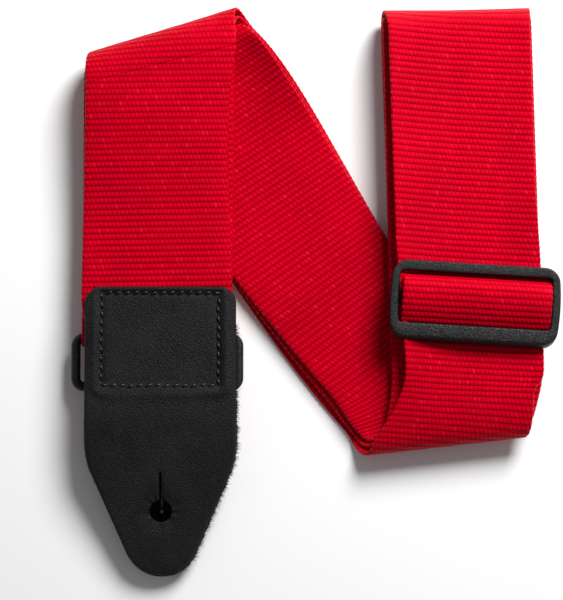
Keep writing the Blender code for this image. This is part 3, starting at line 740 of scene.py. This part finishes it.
tapePiece("sewnTapeEnd", None, "sewnEnd", ["webbing_sewn_end"], "upper_end", endBow)
leftFront = tapePiece("leftLegTape", "leftFront", "leftFront", ["left_front_ply"], None, crownBow)
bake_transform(leftFront)
tapePiece("outerTape", "topOuter", "topLoopOuter",
          ["top_fold_outer_ply", "diagonal_lower_ply", "bottom_fold_outer_ply", "right_front_ply",
           "top_loop_outer_ply"], "webbing", frontBow)
tapePiece("innerTape", "rightBack", "ringTurn",
          ["right_back_ply", "bottom_fold_inner_ply", "diagonal_upper_ply", "top_fold_inner_ply",
           "left_back_ply", "ring_turn_ply"], "webbing")
tapePiece("middleTape", "leftMiddle", "topLoopInner",
          ["left_middle_ply", "top_fold_middle_ply", "diagonal_middle_ply", "bottom_fold_middle_ply",
           "right_middle_ply", "top_loop_inner_ply"], "webbing")
returnPly = tapePiece("returnTape", "rightReturn", None, ["right_return_ply"], "webbing")
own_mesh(returnPly)
print("webbing plies done")


# slider

slider = {"half": (28.6 * mm, 13.0 * mm), "corner": 4.6 * mm, "bulge": 1.1 * mm, "thickness": 3.8 * mm,
          "window": (25.7 * mm, -8.0 * mm, 9.4 * mm), "windowCorner": 1.1 * mm, "turn": math.radians(-3.5),
          "windowBulge": 0.4 * mm, "flare": 1.3 * mm,
          "barY": 0.7 * mm, "barSize": (4.4 * mm, 1.6 * mm), "barRoot": 0.8 * mm, "square": 0.34}
sliderMiddle = middle("tri_glide_slider")


def toSlider(points):
    # turned by the slider's angle and moved to its middle; heights are kept
    points = np.asarray(points)
    cosine, sine = math.cos(slider["turn"]), math.sin(slider["turn"])
    x = points[..., 0] * cosine - points[..., 1] * sine + sliderMiddle[0]
    y = points[..., 0] * sine + points[..., 1] * cosine + sliderMiddle[1]
    return np.stack([x, y, points[..., 2]], axis=-1)


def roundedLoop(halfX, lowY, highY, corner, bulge, perSide=22, perCorner=10):
    # four straight sides and four quarter circles; the two short sides then bow outwards as 1 - (y / half)^2
    loop = []
    for cx, cy, startAngle in ((1, 1, 0), (-1, 1, 90), (-1, -1, 180), (1, -1, 270)):
        angle = np.radians(startAngle + np.linspace(0.0, 90.0, perCorner))
        x = cx * (halfX - corner) + corner * np.cos(angle)
        y = (highY - corner if cy > 0 else lowY + corner) + corner * np.sin(angle)
        loop.append(np.column_stack([x, y]))
    full = []
    for k, piece in enumerate(loop):
        after = loop[(k + 1) % 4][0]
        full += [piece, straight(piece[-1], after, perSide)[1:-1]]
    full = np.vstack(full)
    halfY = 0.5 * (highY - lowY)
    share = (full[:, 1] - 0.5 * (highY + lowY)) / halfY
    full[:, 0] += np.sign(full[:, 0]) * bulge * (1.0 - share ** 2) * (np.abs(full[:, 0]) > 0.6 * halfX)
    return full


def makeSlider():
    halfX, halfY = slider["half"]
    outer = roundedLoop(halfX - slider["bulge"], -halfY, halfY, slider["corner"], slider["bulge"])
    windowX, lowY, highY = slider["window"]
    inner = roundedLoop(windowX - slider["windowBulge"], lowY, highY, slider["windowCorner"],
                        slider["windowBulge"])
    angle = np.linspace(0.0, 2.0 * math.pi, 28, endpoint=False)
    squareness = slider["square"]
    out = np.sign(np.cos(angle)) * np.abs(np.cos(angle)) ** squareness
    up = np.sign(np.sin(angle)) * np.abs(np.sin(angle)) ** squareness
    centre = 0.5 * (outer + inner)[:, None]
    reach = 0.5 * (outer - inner)[:, None]
    flat = centre + reach * out[None, :, None]
    # the lower rail's outer wall slopes outwards towards its foot
    south = smoothStep((-outer[:, 1] / halfY - 0.5) / 0.4)[:, None]
    flat[..., 1] -= slider["flare"] * south * np.clip(out, 0.0, 1.0) * np.clip(0.5 - 0.5 * up, 0.0, 1.0)
    z = np.broadcast_to(sliderMiddle[2] + 0.5 * slider["thickness"] * up, flat.shape[:2])
    grid = toSlider(np.concatenate([flat, z[..., None]], axis=2))
    # the columns are taken backwards, so that the faces point out
    rail = gridPiece("sliderFrame", grid[:, ::-1], blackMoulding, wrapRows=True, wrapColumns=True)
    keep(rail, "slider", "plastic", "tri_glide_slider")
    # the centre bar: a rounded oblong carried from side rail to side rail
    reachX = windowX + slider["barRoot"]
    across = np.linspace(-reachX, reachX, 12)
    barWide, barTall = slider["barSize"]
    wide = slider["barY"] + 0.5 * barWide * np.sign(np.cos(angle)) * np.abs(np.cos(angle)) ** 0.5
    tall = 0.5 * barTall * np.sign(np.sin(angle)) * np.abs(np.sin(angle)) ** 0.5
    tall = tall + middle("webbing_end_loop")[2]
    shape = (len(across), len(angle))
    bar = np.stack([np.broadcast_to(across[:, None], shape), np.broadcast_to(wide, shape),
                    np.broadcast_to(tall, shape)], axis=-1)
    centreBar = gridPiece("sliderBar", toSlider(bar), blackMoulding, wrapColumns=True, caps=True)
    keep(centreBar, "slider", "plastic")


def sliderTape(name, profile, node, start, squeeze, drift):
    # a (y, z) profile across the slider, drawn in a little to fit between the side rails
    half = 0.5 * tape["width"]
    profile = np.asarray(profile)
    edges = [toSlider(np.column_stack([np.full(len(profile), x), profile])) for x in (-half, half)]
    rows = np.stack([*edges, np.zeros_like(edges[0])], axis=1)
    rows = resample(rows, tape["rib"] / tape["perRib"])[0]
    points, uv = tapeSurface(rows, start, noBow)
    points[..., 0] = (points[..., 0] - sliderMiddle[0]) * squeeze + sliderMiddle[0] + drift
    piece = gridPiece(name, points, redTape, wrapColumns=True, caps=True, uv=uv)
    keep(piece, "slider", "webbing", node)


def arcPoints(centre, radius, startAngle, endAngle, count):
    angle = np.radians(np.linspace(startAngle, endAngle, count))
    return np.column_stack([centre[0] + radius * np.cos(angle), centre[1] + radius * np.sin(angle)])


endLoop = {"flatShort": 0.5 * mm, "clear": 1.0 * mm, "squeeze": 0.96}
hump = {"foot": 1.9 * mm, "startY": -9.2 * mm, "length": 19.0 * mm, "crest": 19.7 * mm, "crestShare": 0.63,
        "fallShare": 0.26, "squeeze": 0.985, "drift": 0.5 * mm}


def makeSliderTape():
    barZ = middle("webbing_end_loop")[2]
    flat = 0.5 * slider["barSize"][0] - endLoop["flatShort"]
    radius = 0.5 * slider["barSize"][1] + endLoop["clear"]
    near = arcPoints((slider["barY"] - flat, barZ), radius, 90, 270, 25)
    far = arcPoints((slider["barY"] + flat, barZ), radius, 15, 90, 9)
    foot = np.array([(slider["barY"] + flat, barZ - radius)])
    sliderTape("barLoopTape", np.vstack([far, near, foot]), "webbing_end_loop", 0.0, endLoop["squeeze"], 0.0)
    # over the bar: a long slope up from the lower rail to a crest past the middle, then a steep drop to a
    # flat foot at the upper rail
    low = height["front"] + hump["foot"]
    share = np.linspace(0.0, 1.0, 81)
    ys = hump["startY"] + hump["length"] * share
    rise = np.sin(0.5 * math.pi * np.clip(share / hump["crestShare"], 0.0, 1.0)) ** 0.8
    past = np.clip((share - hump["crestShare"]) / hump["fallShare"], 0.0, 1.0)
    zs = low + (hump["crest"] - low) * rise * np.sqrt(1.0 - past ** 2.4)
    profile = np.column_stack([ys, zs])
    sliderTape("overBarTape", profile, "webbing_over_bar", 0.0, hump["squeeze"], hump["drift"])


makeSlider()
makeSliderTape()
print("slider done")


# ring and its short webbing

ring = {"corner": 2.8 * mm}
# y past the sewn end and z of the upper half, then how far the tape is narrowed and moved by its seam
shortTape = {"upper": ((0.0, 5.6 * mm), (14.0 * mm, 5.6 * mm), (21.0 * mm, 6.6 * mm), (25.0 * mm, 8.6 * mm)),
             "squeeze": 0.955, "drift": 1.0 * mm, "soft": 1.0 * mm}


def makeRing():
    low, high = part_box("strap_ring")
    halfX = 0.5 * (high[0] - low[0]) - ringWire
    halfY = 0.5 * (high[1] - low[1]) - ringWire
    loop = roundedLoop(halfX, -halfY, halfY, ring["corner"], 0.0, 16, 9) + ringMiddle[:2]
    ahead = unit(np.roll(loop, -1, axis=0) - np.roll(loop, 1, axis=0))
    outward = np.column_stack([ahead[:, 1], -ahead[:, 0]])
    angle = np.linspace(0.0, 2.0 * math.pi, 20, endpoint=False)
    flat = loop[:, None] + outward[:, None] * (ringWire * np.cos(angle))[None, :, None]
    z = np.broadcast_to(ringMiddle[2] + ringWire * np.sin(angle), flat.shape[:2])
    grid = np.concatenate([flat, z[..., None]], axis=2)
    # the columns are taken backwards, so that the faces point out
    piece = gridPiece("strapRing", grid[:, ::-1], blackMoulding, wrapRows=True, wrapColumns=True)
    keep(piece, "ring", "plastic", "strap_ring")


def makeShortTape():
    # the same 2 in tape, drawn in a little by its seam
    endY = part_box("short_ring_webbing")[0][1]
    upper = np.array(shortTape["upper"]) + [endY, 0.0]
    profile = np.vstack([upper, barTurn(lowerBarY, 1.0), [(endY, lowTurnZ)]])
    rows = soften(resample(acrossLeft(profile), tape["rib"] / tape["perRib"])[0], shortTape["soft"])
    rows[:, :2, 0] = (rows[:, :2, 0] - leftX) * shortTape["squeeze"] + leftX + shortTape["drift"]
    points, uv = tapeSurface(rows, 0.0, noBow)
    piece = gridPiece("shortTape", points, redTape, wrapColumns=True, caps=True, uv=uv)
    keep(piece, "lower_end", "webbing", "short_ring_webbing")


makeRing()
makeShortTape()
print("ring done")


# leather ends

hide = {"half": 25.4 * mm, "corner": 5.5 * mm, "taper": math.radians(23.5), "tipRadius": 12.6 * mm,
        "thickness": 2.8 * mm, "holeRadius": 3.7 * mm, "lowerHole": 0.6 * mm, "slit": 0.35 * mm,
        "slitLength": 13.1 * mm,
        "shoulder": 6.0 * mm, "dish": 0.9 * mm, "dishReach": 3.2 * mm,
        "edgeRound": 1.2 * mm, "edgeDrop": 0.9 * mm,
        "lipRound": 0.6 * mm, "lipDrop": 0.4 * mm, "edgePuff": 0.12 * mm, "bend": math.radians(8.7),
        "bendReach": 8.0 * mm}
leatherX = middle("upper_leather_end")[0] + 0.2 * mm
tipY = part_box("lower_leather_end")[0][1]
holeY = tipY + 21.7 * mm
bendY = -39.07 * mm
shortFaceZ = 6.3 * mm  # top of the short tape, which the lower seam is sewn on
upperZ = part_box("upper_leather_end")[1][2] - 0.5 * hide["thickness"]
lowerZ = middle("lower_leather_end")[2]
upperBox = {"half": (19.6 * mm, 15.5 * mm), "middleY": -17.17 * mm, "pitch": 3.0 * mm}
lowerBox = {"half": (19.6 * mm, 5.5 * mm), "middleY": -53.57 * mm, "pitch": 2.3 * mm}


def hideOutline(topY):
    # square top with round corners, straight sides, eased shoulders and a round tip, about x = 0
    tipMiddle = tipY + hide["tipRadius"]
    degrees = math.degrees(hide["taper"])
    slope = np.array([-math.sin(hide["taper"]), -math.cos(hide["taper"])])
    tipSide = np.array([math.cos(hide["taper"]), -math.sin(hide["taper"])])
    taperEnd = np.array([0.0, tipMiddle]) + hide["tipRadius"] * tipSide
    shoulder = np.array([hide["half"], taperEnd[1] + (hide["half"] - taperEnd[0]) / math.tan(hide["taper"])])
    corner = arcPoints((hide["half"] - hide["corner"], topY - hide["corner"]), hide["corner"], 90, 0, 24)
    before = shoulder + [0.0, hide["shoulder"]]
    after = shoulder + slope * hide["shoulder"]
    share = np.linspace(0.0, 1.0, 24)[:, None]
    ease = (1 - share) ** 2 * before + 2 * share * (1 - share) * shoulder + share ** 2 * after
    tip = arcPoints((0.0, tipMiddle), hide["tipRadius"], -degrees, -90, 40)
    right = np.vstack([(0.0, topY), corner, ease, tip])
    left = right[-2:0:-1] * np.array([-1.0, 1.0])
    loop = np.vstack([right, left, right[:1]])
    length = np.concatenate([[0.0], np.cumsum(np.linalg.norm(np.diff(loop, axis=0), axis=1))])
    even = np.linspace(0.0, length[-1], 421)[:-1]
    return np.column_stack([np.interp(even, length, loop[:, 0]), np.interp(even, length, loop[:, 1])])


def distanceTo(points, line):
    # shortest distance from each point to a closed line, taken to its corner points and mid points
    dense = np.vstack([line, 0.5 * (line + np.roll(line, -1, axis=0))])
    flat = points.reshape(-1, 2)
    nearest = np.empty(len(flat))
    for start in range(0, len(flat), 4000):
        block = flat[start:start + 4000]
        nearest[start:start + 4000] = np.sqrt(((block[:, None] - dense[None]) ** 2).sum(axis=2).min(axis=1))
    return nearest.reshape(points.shape[:-1])


def boxDistance(x, y, half, middleY):
    # signed distance to a rectangle, less than 0 inside it
    dx = np.abs(x) - half[0]
    dy = np.abs(y - middleY) - half[1]
    outside = np.hypot(np.maximum(dx, 0.0), np.maximum(dy, 0.0))
    return outside + np.minimum(np.maximum(dx, dy), 0.0)


def hideRelief(x, y, box):
    # panel pressed in along the seam, a soft dish with creases about the hole, and slow waves of the hide
    away = boxDistance(x, y, box["half"], box["middleY"])
    panel = -0.28 * mm * smoothStep(0.5 - away / (1.6 * mm)) - 0.46 * mm * np.exp(-(away / (0.8 * mm)) ** 2)
    puff = 0.60 * mm * np.exp(-((away - 2.6 * mm) / (1.4 * mm)) ** 2)
    distance = np.hypot(x, y - holeY)
    angle = np.arctan2(y - holeY, x)
    out = np.maximum(distance - hide["holeRadius"], 0.0)
    dish = -hide["dish"] * np.exp(-(out / hide["dishReach"]) ** 1.6)
    crease = 0.16 * mm * np.sin(9.0 * angle + 1.4 * np.sin(3.0 * angle)) * np.exp(-(out / (2.2 * mm)) ** 1.3)
    onSlit = smoothStep((y - holeY) / (3.0 * mm)) * smoothStep(
        (holeY + hide["slitLength"] + 2.0 * mm - y) / (3.0 * mm))
    slitDip = -0.35 * mm * np.exp(-(x / (0.9 * mm)) ** 2) * onSlit
    waves = 0.10 * mm * np.sin(x * 190.0 + 1.0) * np.sin(y * 160.0 + 0.4)
    waves = waves + 0.05 * mm * np.sin(x * 420.0 - y * 310.0)
    return panel + puff + dish + crease + slitDip + waves


def bendDown(points):
    # below the bend line the plate turns down: its slope grows to the full angle over bendReach
    reach = np.maximum(bendY - points[..., 1], 0.0)
    slope = math.tan(hide["bend"])
    drop = slope * np.where(reach < hide["bendReach"], 0.5 * reach ** 2 / hide["bendReach"],
                            reach - 0.5 * hide["bendReach"])
    back = (1.0 - math.cos(hide["bend"])) * reach
    turned = points.copy()
    turned[..., 1] += back
    turned[..., 2] -= drop
    return turned


def quarterRound(share):
    # 1 at an edge, falling to 0 along a quarter circle
    return 1.0 - np.sqrt(1.0 - (1.0 - np.clip(share, 0.0, 1.0)) ** 2)


def hidePiece(name, topY, midZ, box, bends, hole):
    # rings from the button hole out to the edge over the face, round the edge and back underneath
    outer = hideOutline(topY)
    polar = np.arctan2(outer[:, 1] - holeY, outer[:, 0])
    spike = np.radians(90.0 + np.array([-6.5, -4.6, -3.2, -2.2, -1.55, 0.0, 1.55, 2.2, 3.2, 4.6, 6.5]))
    angle = np.concatenate([polar[np.abs(polar - 0.5 * math.pi) > math.radians(7.5)], spike])
    order = np.argsort(-angle)
    angle = angle[order]
    sortedPolar = np.argsort(polar)
    outerX = np.interp(angle, polar[sortedPolar], outer[sortedPolar, 0], period=2.0 * math.pi)
    outerY = np.interp(angle, polar[sortedPolar], outer[sortedPolar, 1], period=2.0 * math.pi)
    outerLoop = np.column_stack([outerX, outerY])
    off = np.abs(angle - 0.5 * math.pi)
    slitReach = np.minimum(hide["slit"] / np.maximum(np.sin(off), 1e-6), hide["slitLength"])
    radius = np.maximum(hole, np.where(off < math.radians(7.0), slitReach, 0.0))
    innerLoop = np.column_stack([radius * np.cos(angle), holeY + radius * np.sin(angle)])
    share = np.linspace(0.0, 1.0, 64)
    share = share - 0.10 * np.sin(2.0 * math.pi * share)  # rings gather at the hole and at the edge
    turn = np.radians([50.0, 10.0, -25.0, -60.0])
    ringShare = np.concatenate([share, np.ones(4), share[::-3], [0.0, 0.0, 0.0]])
    level = np.concatenate([np.ones(64), np.sin(turn), -np.ones(len(share[::-3])), [-0.6, 0.0, 0.6]])
    puffOut = np.concatenate([np.zeros(64), hide["edgePuff"] * np.cos(turn), np.zeros(len(share[::-3]) + 3)])
    flat = innerLoop[None] * (1.0 - ringShare[:, None, None]) + outerLoop[None] * ringShare[:, None, None]
    outward = unit(outerLoop - np.array([0.0, holeY]))
    flat = flat + outward[None] * puffOut[:, None, None]
    toEdge = distanceTo(flat, outer)
    toHole = distanceTo(flat, innerLoop)
    fall = quarterRound(toEdge / hide["edgeRound"])
    lip = quarterRound(toHole / hide["lipRound"])
    half = 0.5 * hide["thickness"]
    relief = hideRelief(flat[..., 0], flat[..., 1], box) - hide["edgeDrop"] * fall - hide["lipDrop"] * lip
    onTop = (level > 0.95)[:, None]
    z = midZ + level[:, None] * half + np.where(onTop, relief, 0.0)
    edgeTop = np.clip(level, 0.0, 1.0)[:, None] * (ringShare > 0.999)[:, None] * (~onTop)
    z = z - edgeTop * hide["edgeDrop"]
    holeTop = np.clip(level, 0.0, 1.0)[:, None] * (ringShare < 1e-6)[:, None] * (~onTop)
    z = z - holeTop * (hide["dish"] + hide["lipDrop"])
    points = np.concatenate([flat + np.array([leatherX, 0.0]), z[..., None]], axis=2)
    if bends:
        points = bendDown(points)
    return gridPiece(name, points, blackLeather, wrapRows=True, wrapColumns=True)


def seamPath(box, wave):
    halfX, halfY = box["half"]
    loop = roundedLoop(halfX, box["middleY"] - halfY, box["middleY"] + halfY, 1.2 * mm, 0.0, 40, 5)
    closed = np.vstack([loop, loop[:1]])
    length = np.concatenate([[0.0], np.cumsum(np.linalg.norm(np.diff(closed, axis=0), axis=1))])
    count = int(round(length[-1] / box["pitch"]))
    middles = (np.arange(count) + 0.5) * length[-1] / count
    x = np.interp(middles, length, closed[:, 0])
    y = np.interp(middles, length, closed[:, 1])
    step = 0.3 * mm
    ahead = unit(np.column_stack([np.interp(middles + step, length, closed[:, k])
                                  - np.interp(middles - step, length, closed[:, k]) for k in (0, 1)]))
    across = np.column_stack([-ahead[:, 1], ahead[:, 0]])
    places = np.column_stack([x, y]) + across * (wave * rng.normal(size=(count, 1)))
    turn = rng.normal(scale=0.08, size=count) + 0.34
    ahead = ahead * np.cos(turn)[:, None] + across * np.sin(turn)[:, None]
    return places, ahead


def stitches(name, box, surfaceZ, material):
    # each stitch is a closed spindle: radius = thread times sin(position)^0.45, sagging at both ends
    places, ahead = seamPath(box, 0.10 * mm)
    across = np.column_stack([-ahead[:, 1], ahead[:, 0]])
    along = np.linspace(0.0, 1.0, 8)
    angle = np.linspace(0.0, 2.0 * math.pi, 8, endpoint=False)
    stitchLength = box["pitch"] * 0.88
    swell = 0.50 * mm * np.sin(math.pi * np.clip(along, 0.02, 0.98)) ** 0.45
    count = len(places)
    onLine = places[:, None] + ahead[:, None] * ((along - 0.5) * stitchLength)[None, :, None]
    ground = surfaceZ(onLine[..., 0], onLine[..., 1])
    arch = 0.32 * mm * np.sin(math.pi * along) - 0.10 * mm
    flat = onLine[:, :, None] + across[:, None, None] * (swell[:, None] * np.cos(angle))[None, ..., None]
    z = (ground + arch)[:, :, None] + (swell[:, None] * np.sin(angle))[None]
    flat = flat + np.array([leatherX, 0.0])
    points = np.concatenate([flat, z[..., None]], axis=3)
    quads = gridQuads(8, 8, False, True)
    ends = [list(range(8))[::-1], list(range(56, 64))]
    faces = [[corner + 64 * k for corner in face] for k in range(count) for face in quads.tolist() + ends]
    return buildMesh(name, points.reshape(-1, 3), faces, material)


def fibres(name, starts, outward, count, lengths, material, spread):
    # thin bent hairs: point = root + direction times length, with a curl growing as the square of the
    # position
    pick = rng.integers(0, len(starts), count)
    root = starts[pick] + rng.normal(scale=0.15 * mm, size=(count, 3)) * [1, 1, 2.0]
    lean = rng.normal(scale=spread, size=(count, 3)) * [1, 1, 0.8]
    direction = unit(outward[pick] + lean)
    curl = rng.normal(scale=0.6, size=(count, 3))
    long = rng.uniform(*lengths, count)
    along = np.linspace(0.0, 1.0, 5)
    bent = direction[:, None] * along[:, None] + curl[:, None] * (0.5 * along ** 2)[:, None]
    line = root[:, None] + long[:, None, None] * bent
    angle = np.radians([90.0, 210.0, 330.0])
    thick = 0.075 * mm * (1.0 - 0.7 * along)
    sideA = unit(np.cross(direction, [0.0, 0.0, 1.0]))
    sideB = np.cross(direction, sideA)
    ringPoints = (sideA[:, None, None] * np.cos(angle)[None, None, :, None]
                  + sideB[:, None, None] * np.sin(angle)[None, None, :, None]) * thick[None, :, None, None]
    points = line[:, :, None] + ringPoints
    points[..., 2] = np.maximum(points[..., 2], 0.1 * mm)
    quads = gridQuads(5, 3, False, True)
    ends = [[2, 1, 0], [12, 13, 14]]
    faces = [[corner + 15 * k for corner in face] for k in range(count) for face in quads.tolist() + ends]
    return buildMesh(name, points.reshape(-1, 3), faces, material)


def makeLeathers():
    upper = hidePiece("upperLeather", leatherTopY, upperZ, upperBox, True, hide["holeRadius"])
    keep(upper, "upper_end", "leather", "upper_leather_end")
    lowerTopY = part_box("lower_leather_end")[1][1]
    # the lower end's button hole is drawn almost shut, so that its black face fills the upper end's hole: a
    # dark sheet standing in for the shade inside the hole
    lower = hidePiece("lowerLeather", lowerTopY, lowerZ, lowerBox, False, hide["lowerHole"])
    keep(lower, "lower_end", "leather", "lower_leather_end")

    def upperFace(x, y):
        return upperZ + 0.5 * hide["thickness"] + hideRelief(x, y, upperBox)

    def shortFace(x, y):
        return np.full_like(x, shortFaceZ)

    seam = stitches("upperSeam", upperBox, upperFace, blackThread)
    keep(seam, "upper_end", "thread", "upper_box_stitch")
    seam = stitches("lowerSeam", lowerBox, shortFace, blackThread)
    keep(seam, "lower_end", "thread", "lower_box_stitch")
    edge = hideOutline(leatherTopY)
    ahead = unit(np.roll(edge, -1, axis=0) - np.roll(edge, 1, axis=0))
    outward = np.column_stack([-ahead[:, 1], ahead[:, 0]])
    outward *= np.sign((outward * (edge - [0.0, -40.0 * mm])).sum(axis=1))[:, None]
    rootZ = upperZ - hide["edgeDrop"]
    base = bendDown(np.column_stack([edge + [leatherX, 0.0], np.full(len(edge), rootZ)]))
    normals = np.column_stack([outward, np.full(len(edge), -0.1)])
    right = (edge[:, 0] > 3.0 * mm) & (edge[:, 1] < -12.0 * mm)
    left = (edge[:, 0] < -12.0 * mm) & (edge[:, 1] < -44.0 * mm) & (edge[:, 1] > -66.0 * mm)
    hair = fibres("rightSuede", base[right], normals[right], 2200, (0.4 * mm, 1.5 * mm), suedeFibre, 0.7)
    keep(hair, "upper_end", "leather")
    hair = fibres("leftSuede", base[left], normals[left], 160, (0.2 * mm, 0.7 * mm), suedeFibre, 0.7)
    keep(hair, "upper_end", "leather")


makeLeathers()
print("leather ends done")


# floor, light and camera

studio = {"target": (-11.26 * mm, -3.57 * mm, 8.0 * mm), "distance": 0.70, "tilt": 4.0, "keyPower": 10.6,
          "keySize": 0.40, "keyDistance": 0.80, "keyDirection": (0.56, 0.92, 0.86), "sky": 0.20}


def makeStudio():
    size = 3.0
    corners = np.array([(-size, -size, 0), (size, -size, 0), (size, size, 0), (-size, size, 0)], dtype=float)
    material, tree, shader = newMaterial("paleFloor")
    place = addNode(tree, "TexCoord").outputs["Object"]
    cloud = addNode(tree, "TexNoise", Vector=place, Scale=3.0).outputs["Fac"]
    tint = ramp(tree, cloud, [(0.0, (0.93, 0.93, 0.93)), (1.0, (0.96, 0.96, 0.96))])
    tree.links.new(tint, shader.inputs["Base Color"])
    shader.inputs["Roughness"].default_value = 0.85
    floor = buildMesh("floor", corners, [[0, 1, 2, 3]], material)
    world = bpy.data.worlds.new("studio")
    world.use_nodes = True
    world.node_tree.nodes["Background"].inputs["Color"].default_value = (0.97, 0.98, 1.0, 1.0)
    world.node_tree.nodes["Background"].inputs["Strength"].default_value = studio["sky"]
    scene = bpy.context.scene
    scene.world = world
    lamp = bpy.data.lights.new("keyLight", "AREA")
    lamp.shape = "DISK"
    lamp.size = studio["keySize"]
    lamp.energy = studio["keyPower"]
    keyLight = bpy.data.objects.new("keyLight", lamp)
    direction = unit(np.array(studio["keyDirection"]))
    keyLight.location = np.array(studio["target"]) + direction * studio["keyDistance"]
    keyLight.rotation_euler = Vector(direction).to_track_quat("Z", "Y").to_euler()
    scene.collection.objects.link(keyLight)
    lens = bpy.data.cameras.new("camera")
    camera = bpy.data.objects.new("camera", lens)
    tilt = math.radians(studio["tilt"])
    away = np.array([0.0, -math.sin(tilt), math.cos(tilt)])
    camera.location = np.array(studio["target"]) + studio["distance"] * away
    camera.rotation_euler = (tilt, 0.0, 0.0)
    lens.sensor_fit = "VERTICAL"
    lens.sensor_height = 36.0
    lens.lens = 36.0 * 2950.0 * studio["distance"] / 600.0
    lens.clip_start = 0.01
    scene.collection.objects.link(camera)
    scene.camera = camera
    scene.view_settings.view_transform = "Standard"


makeStudio()
print("studio done")
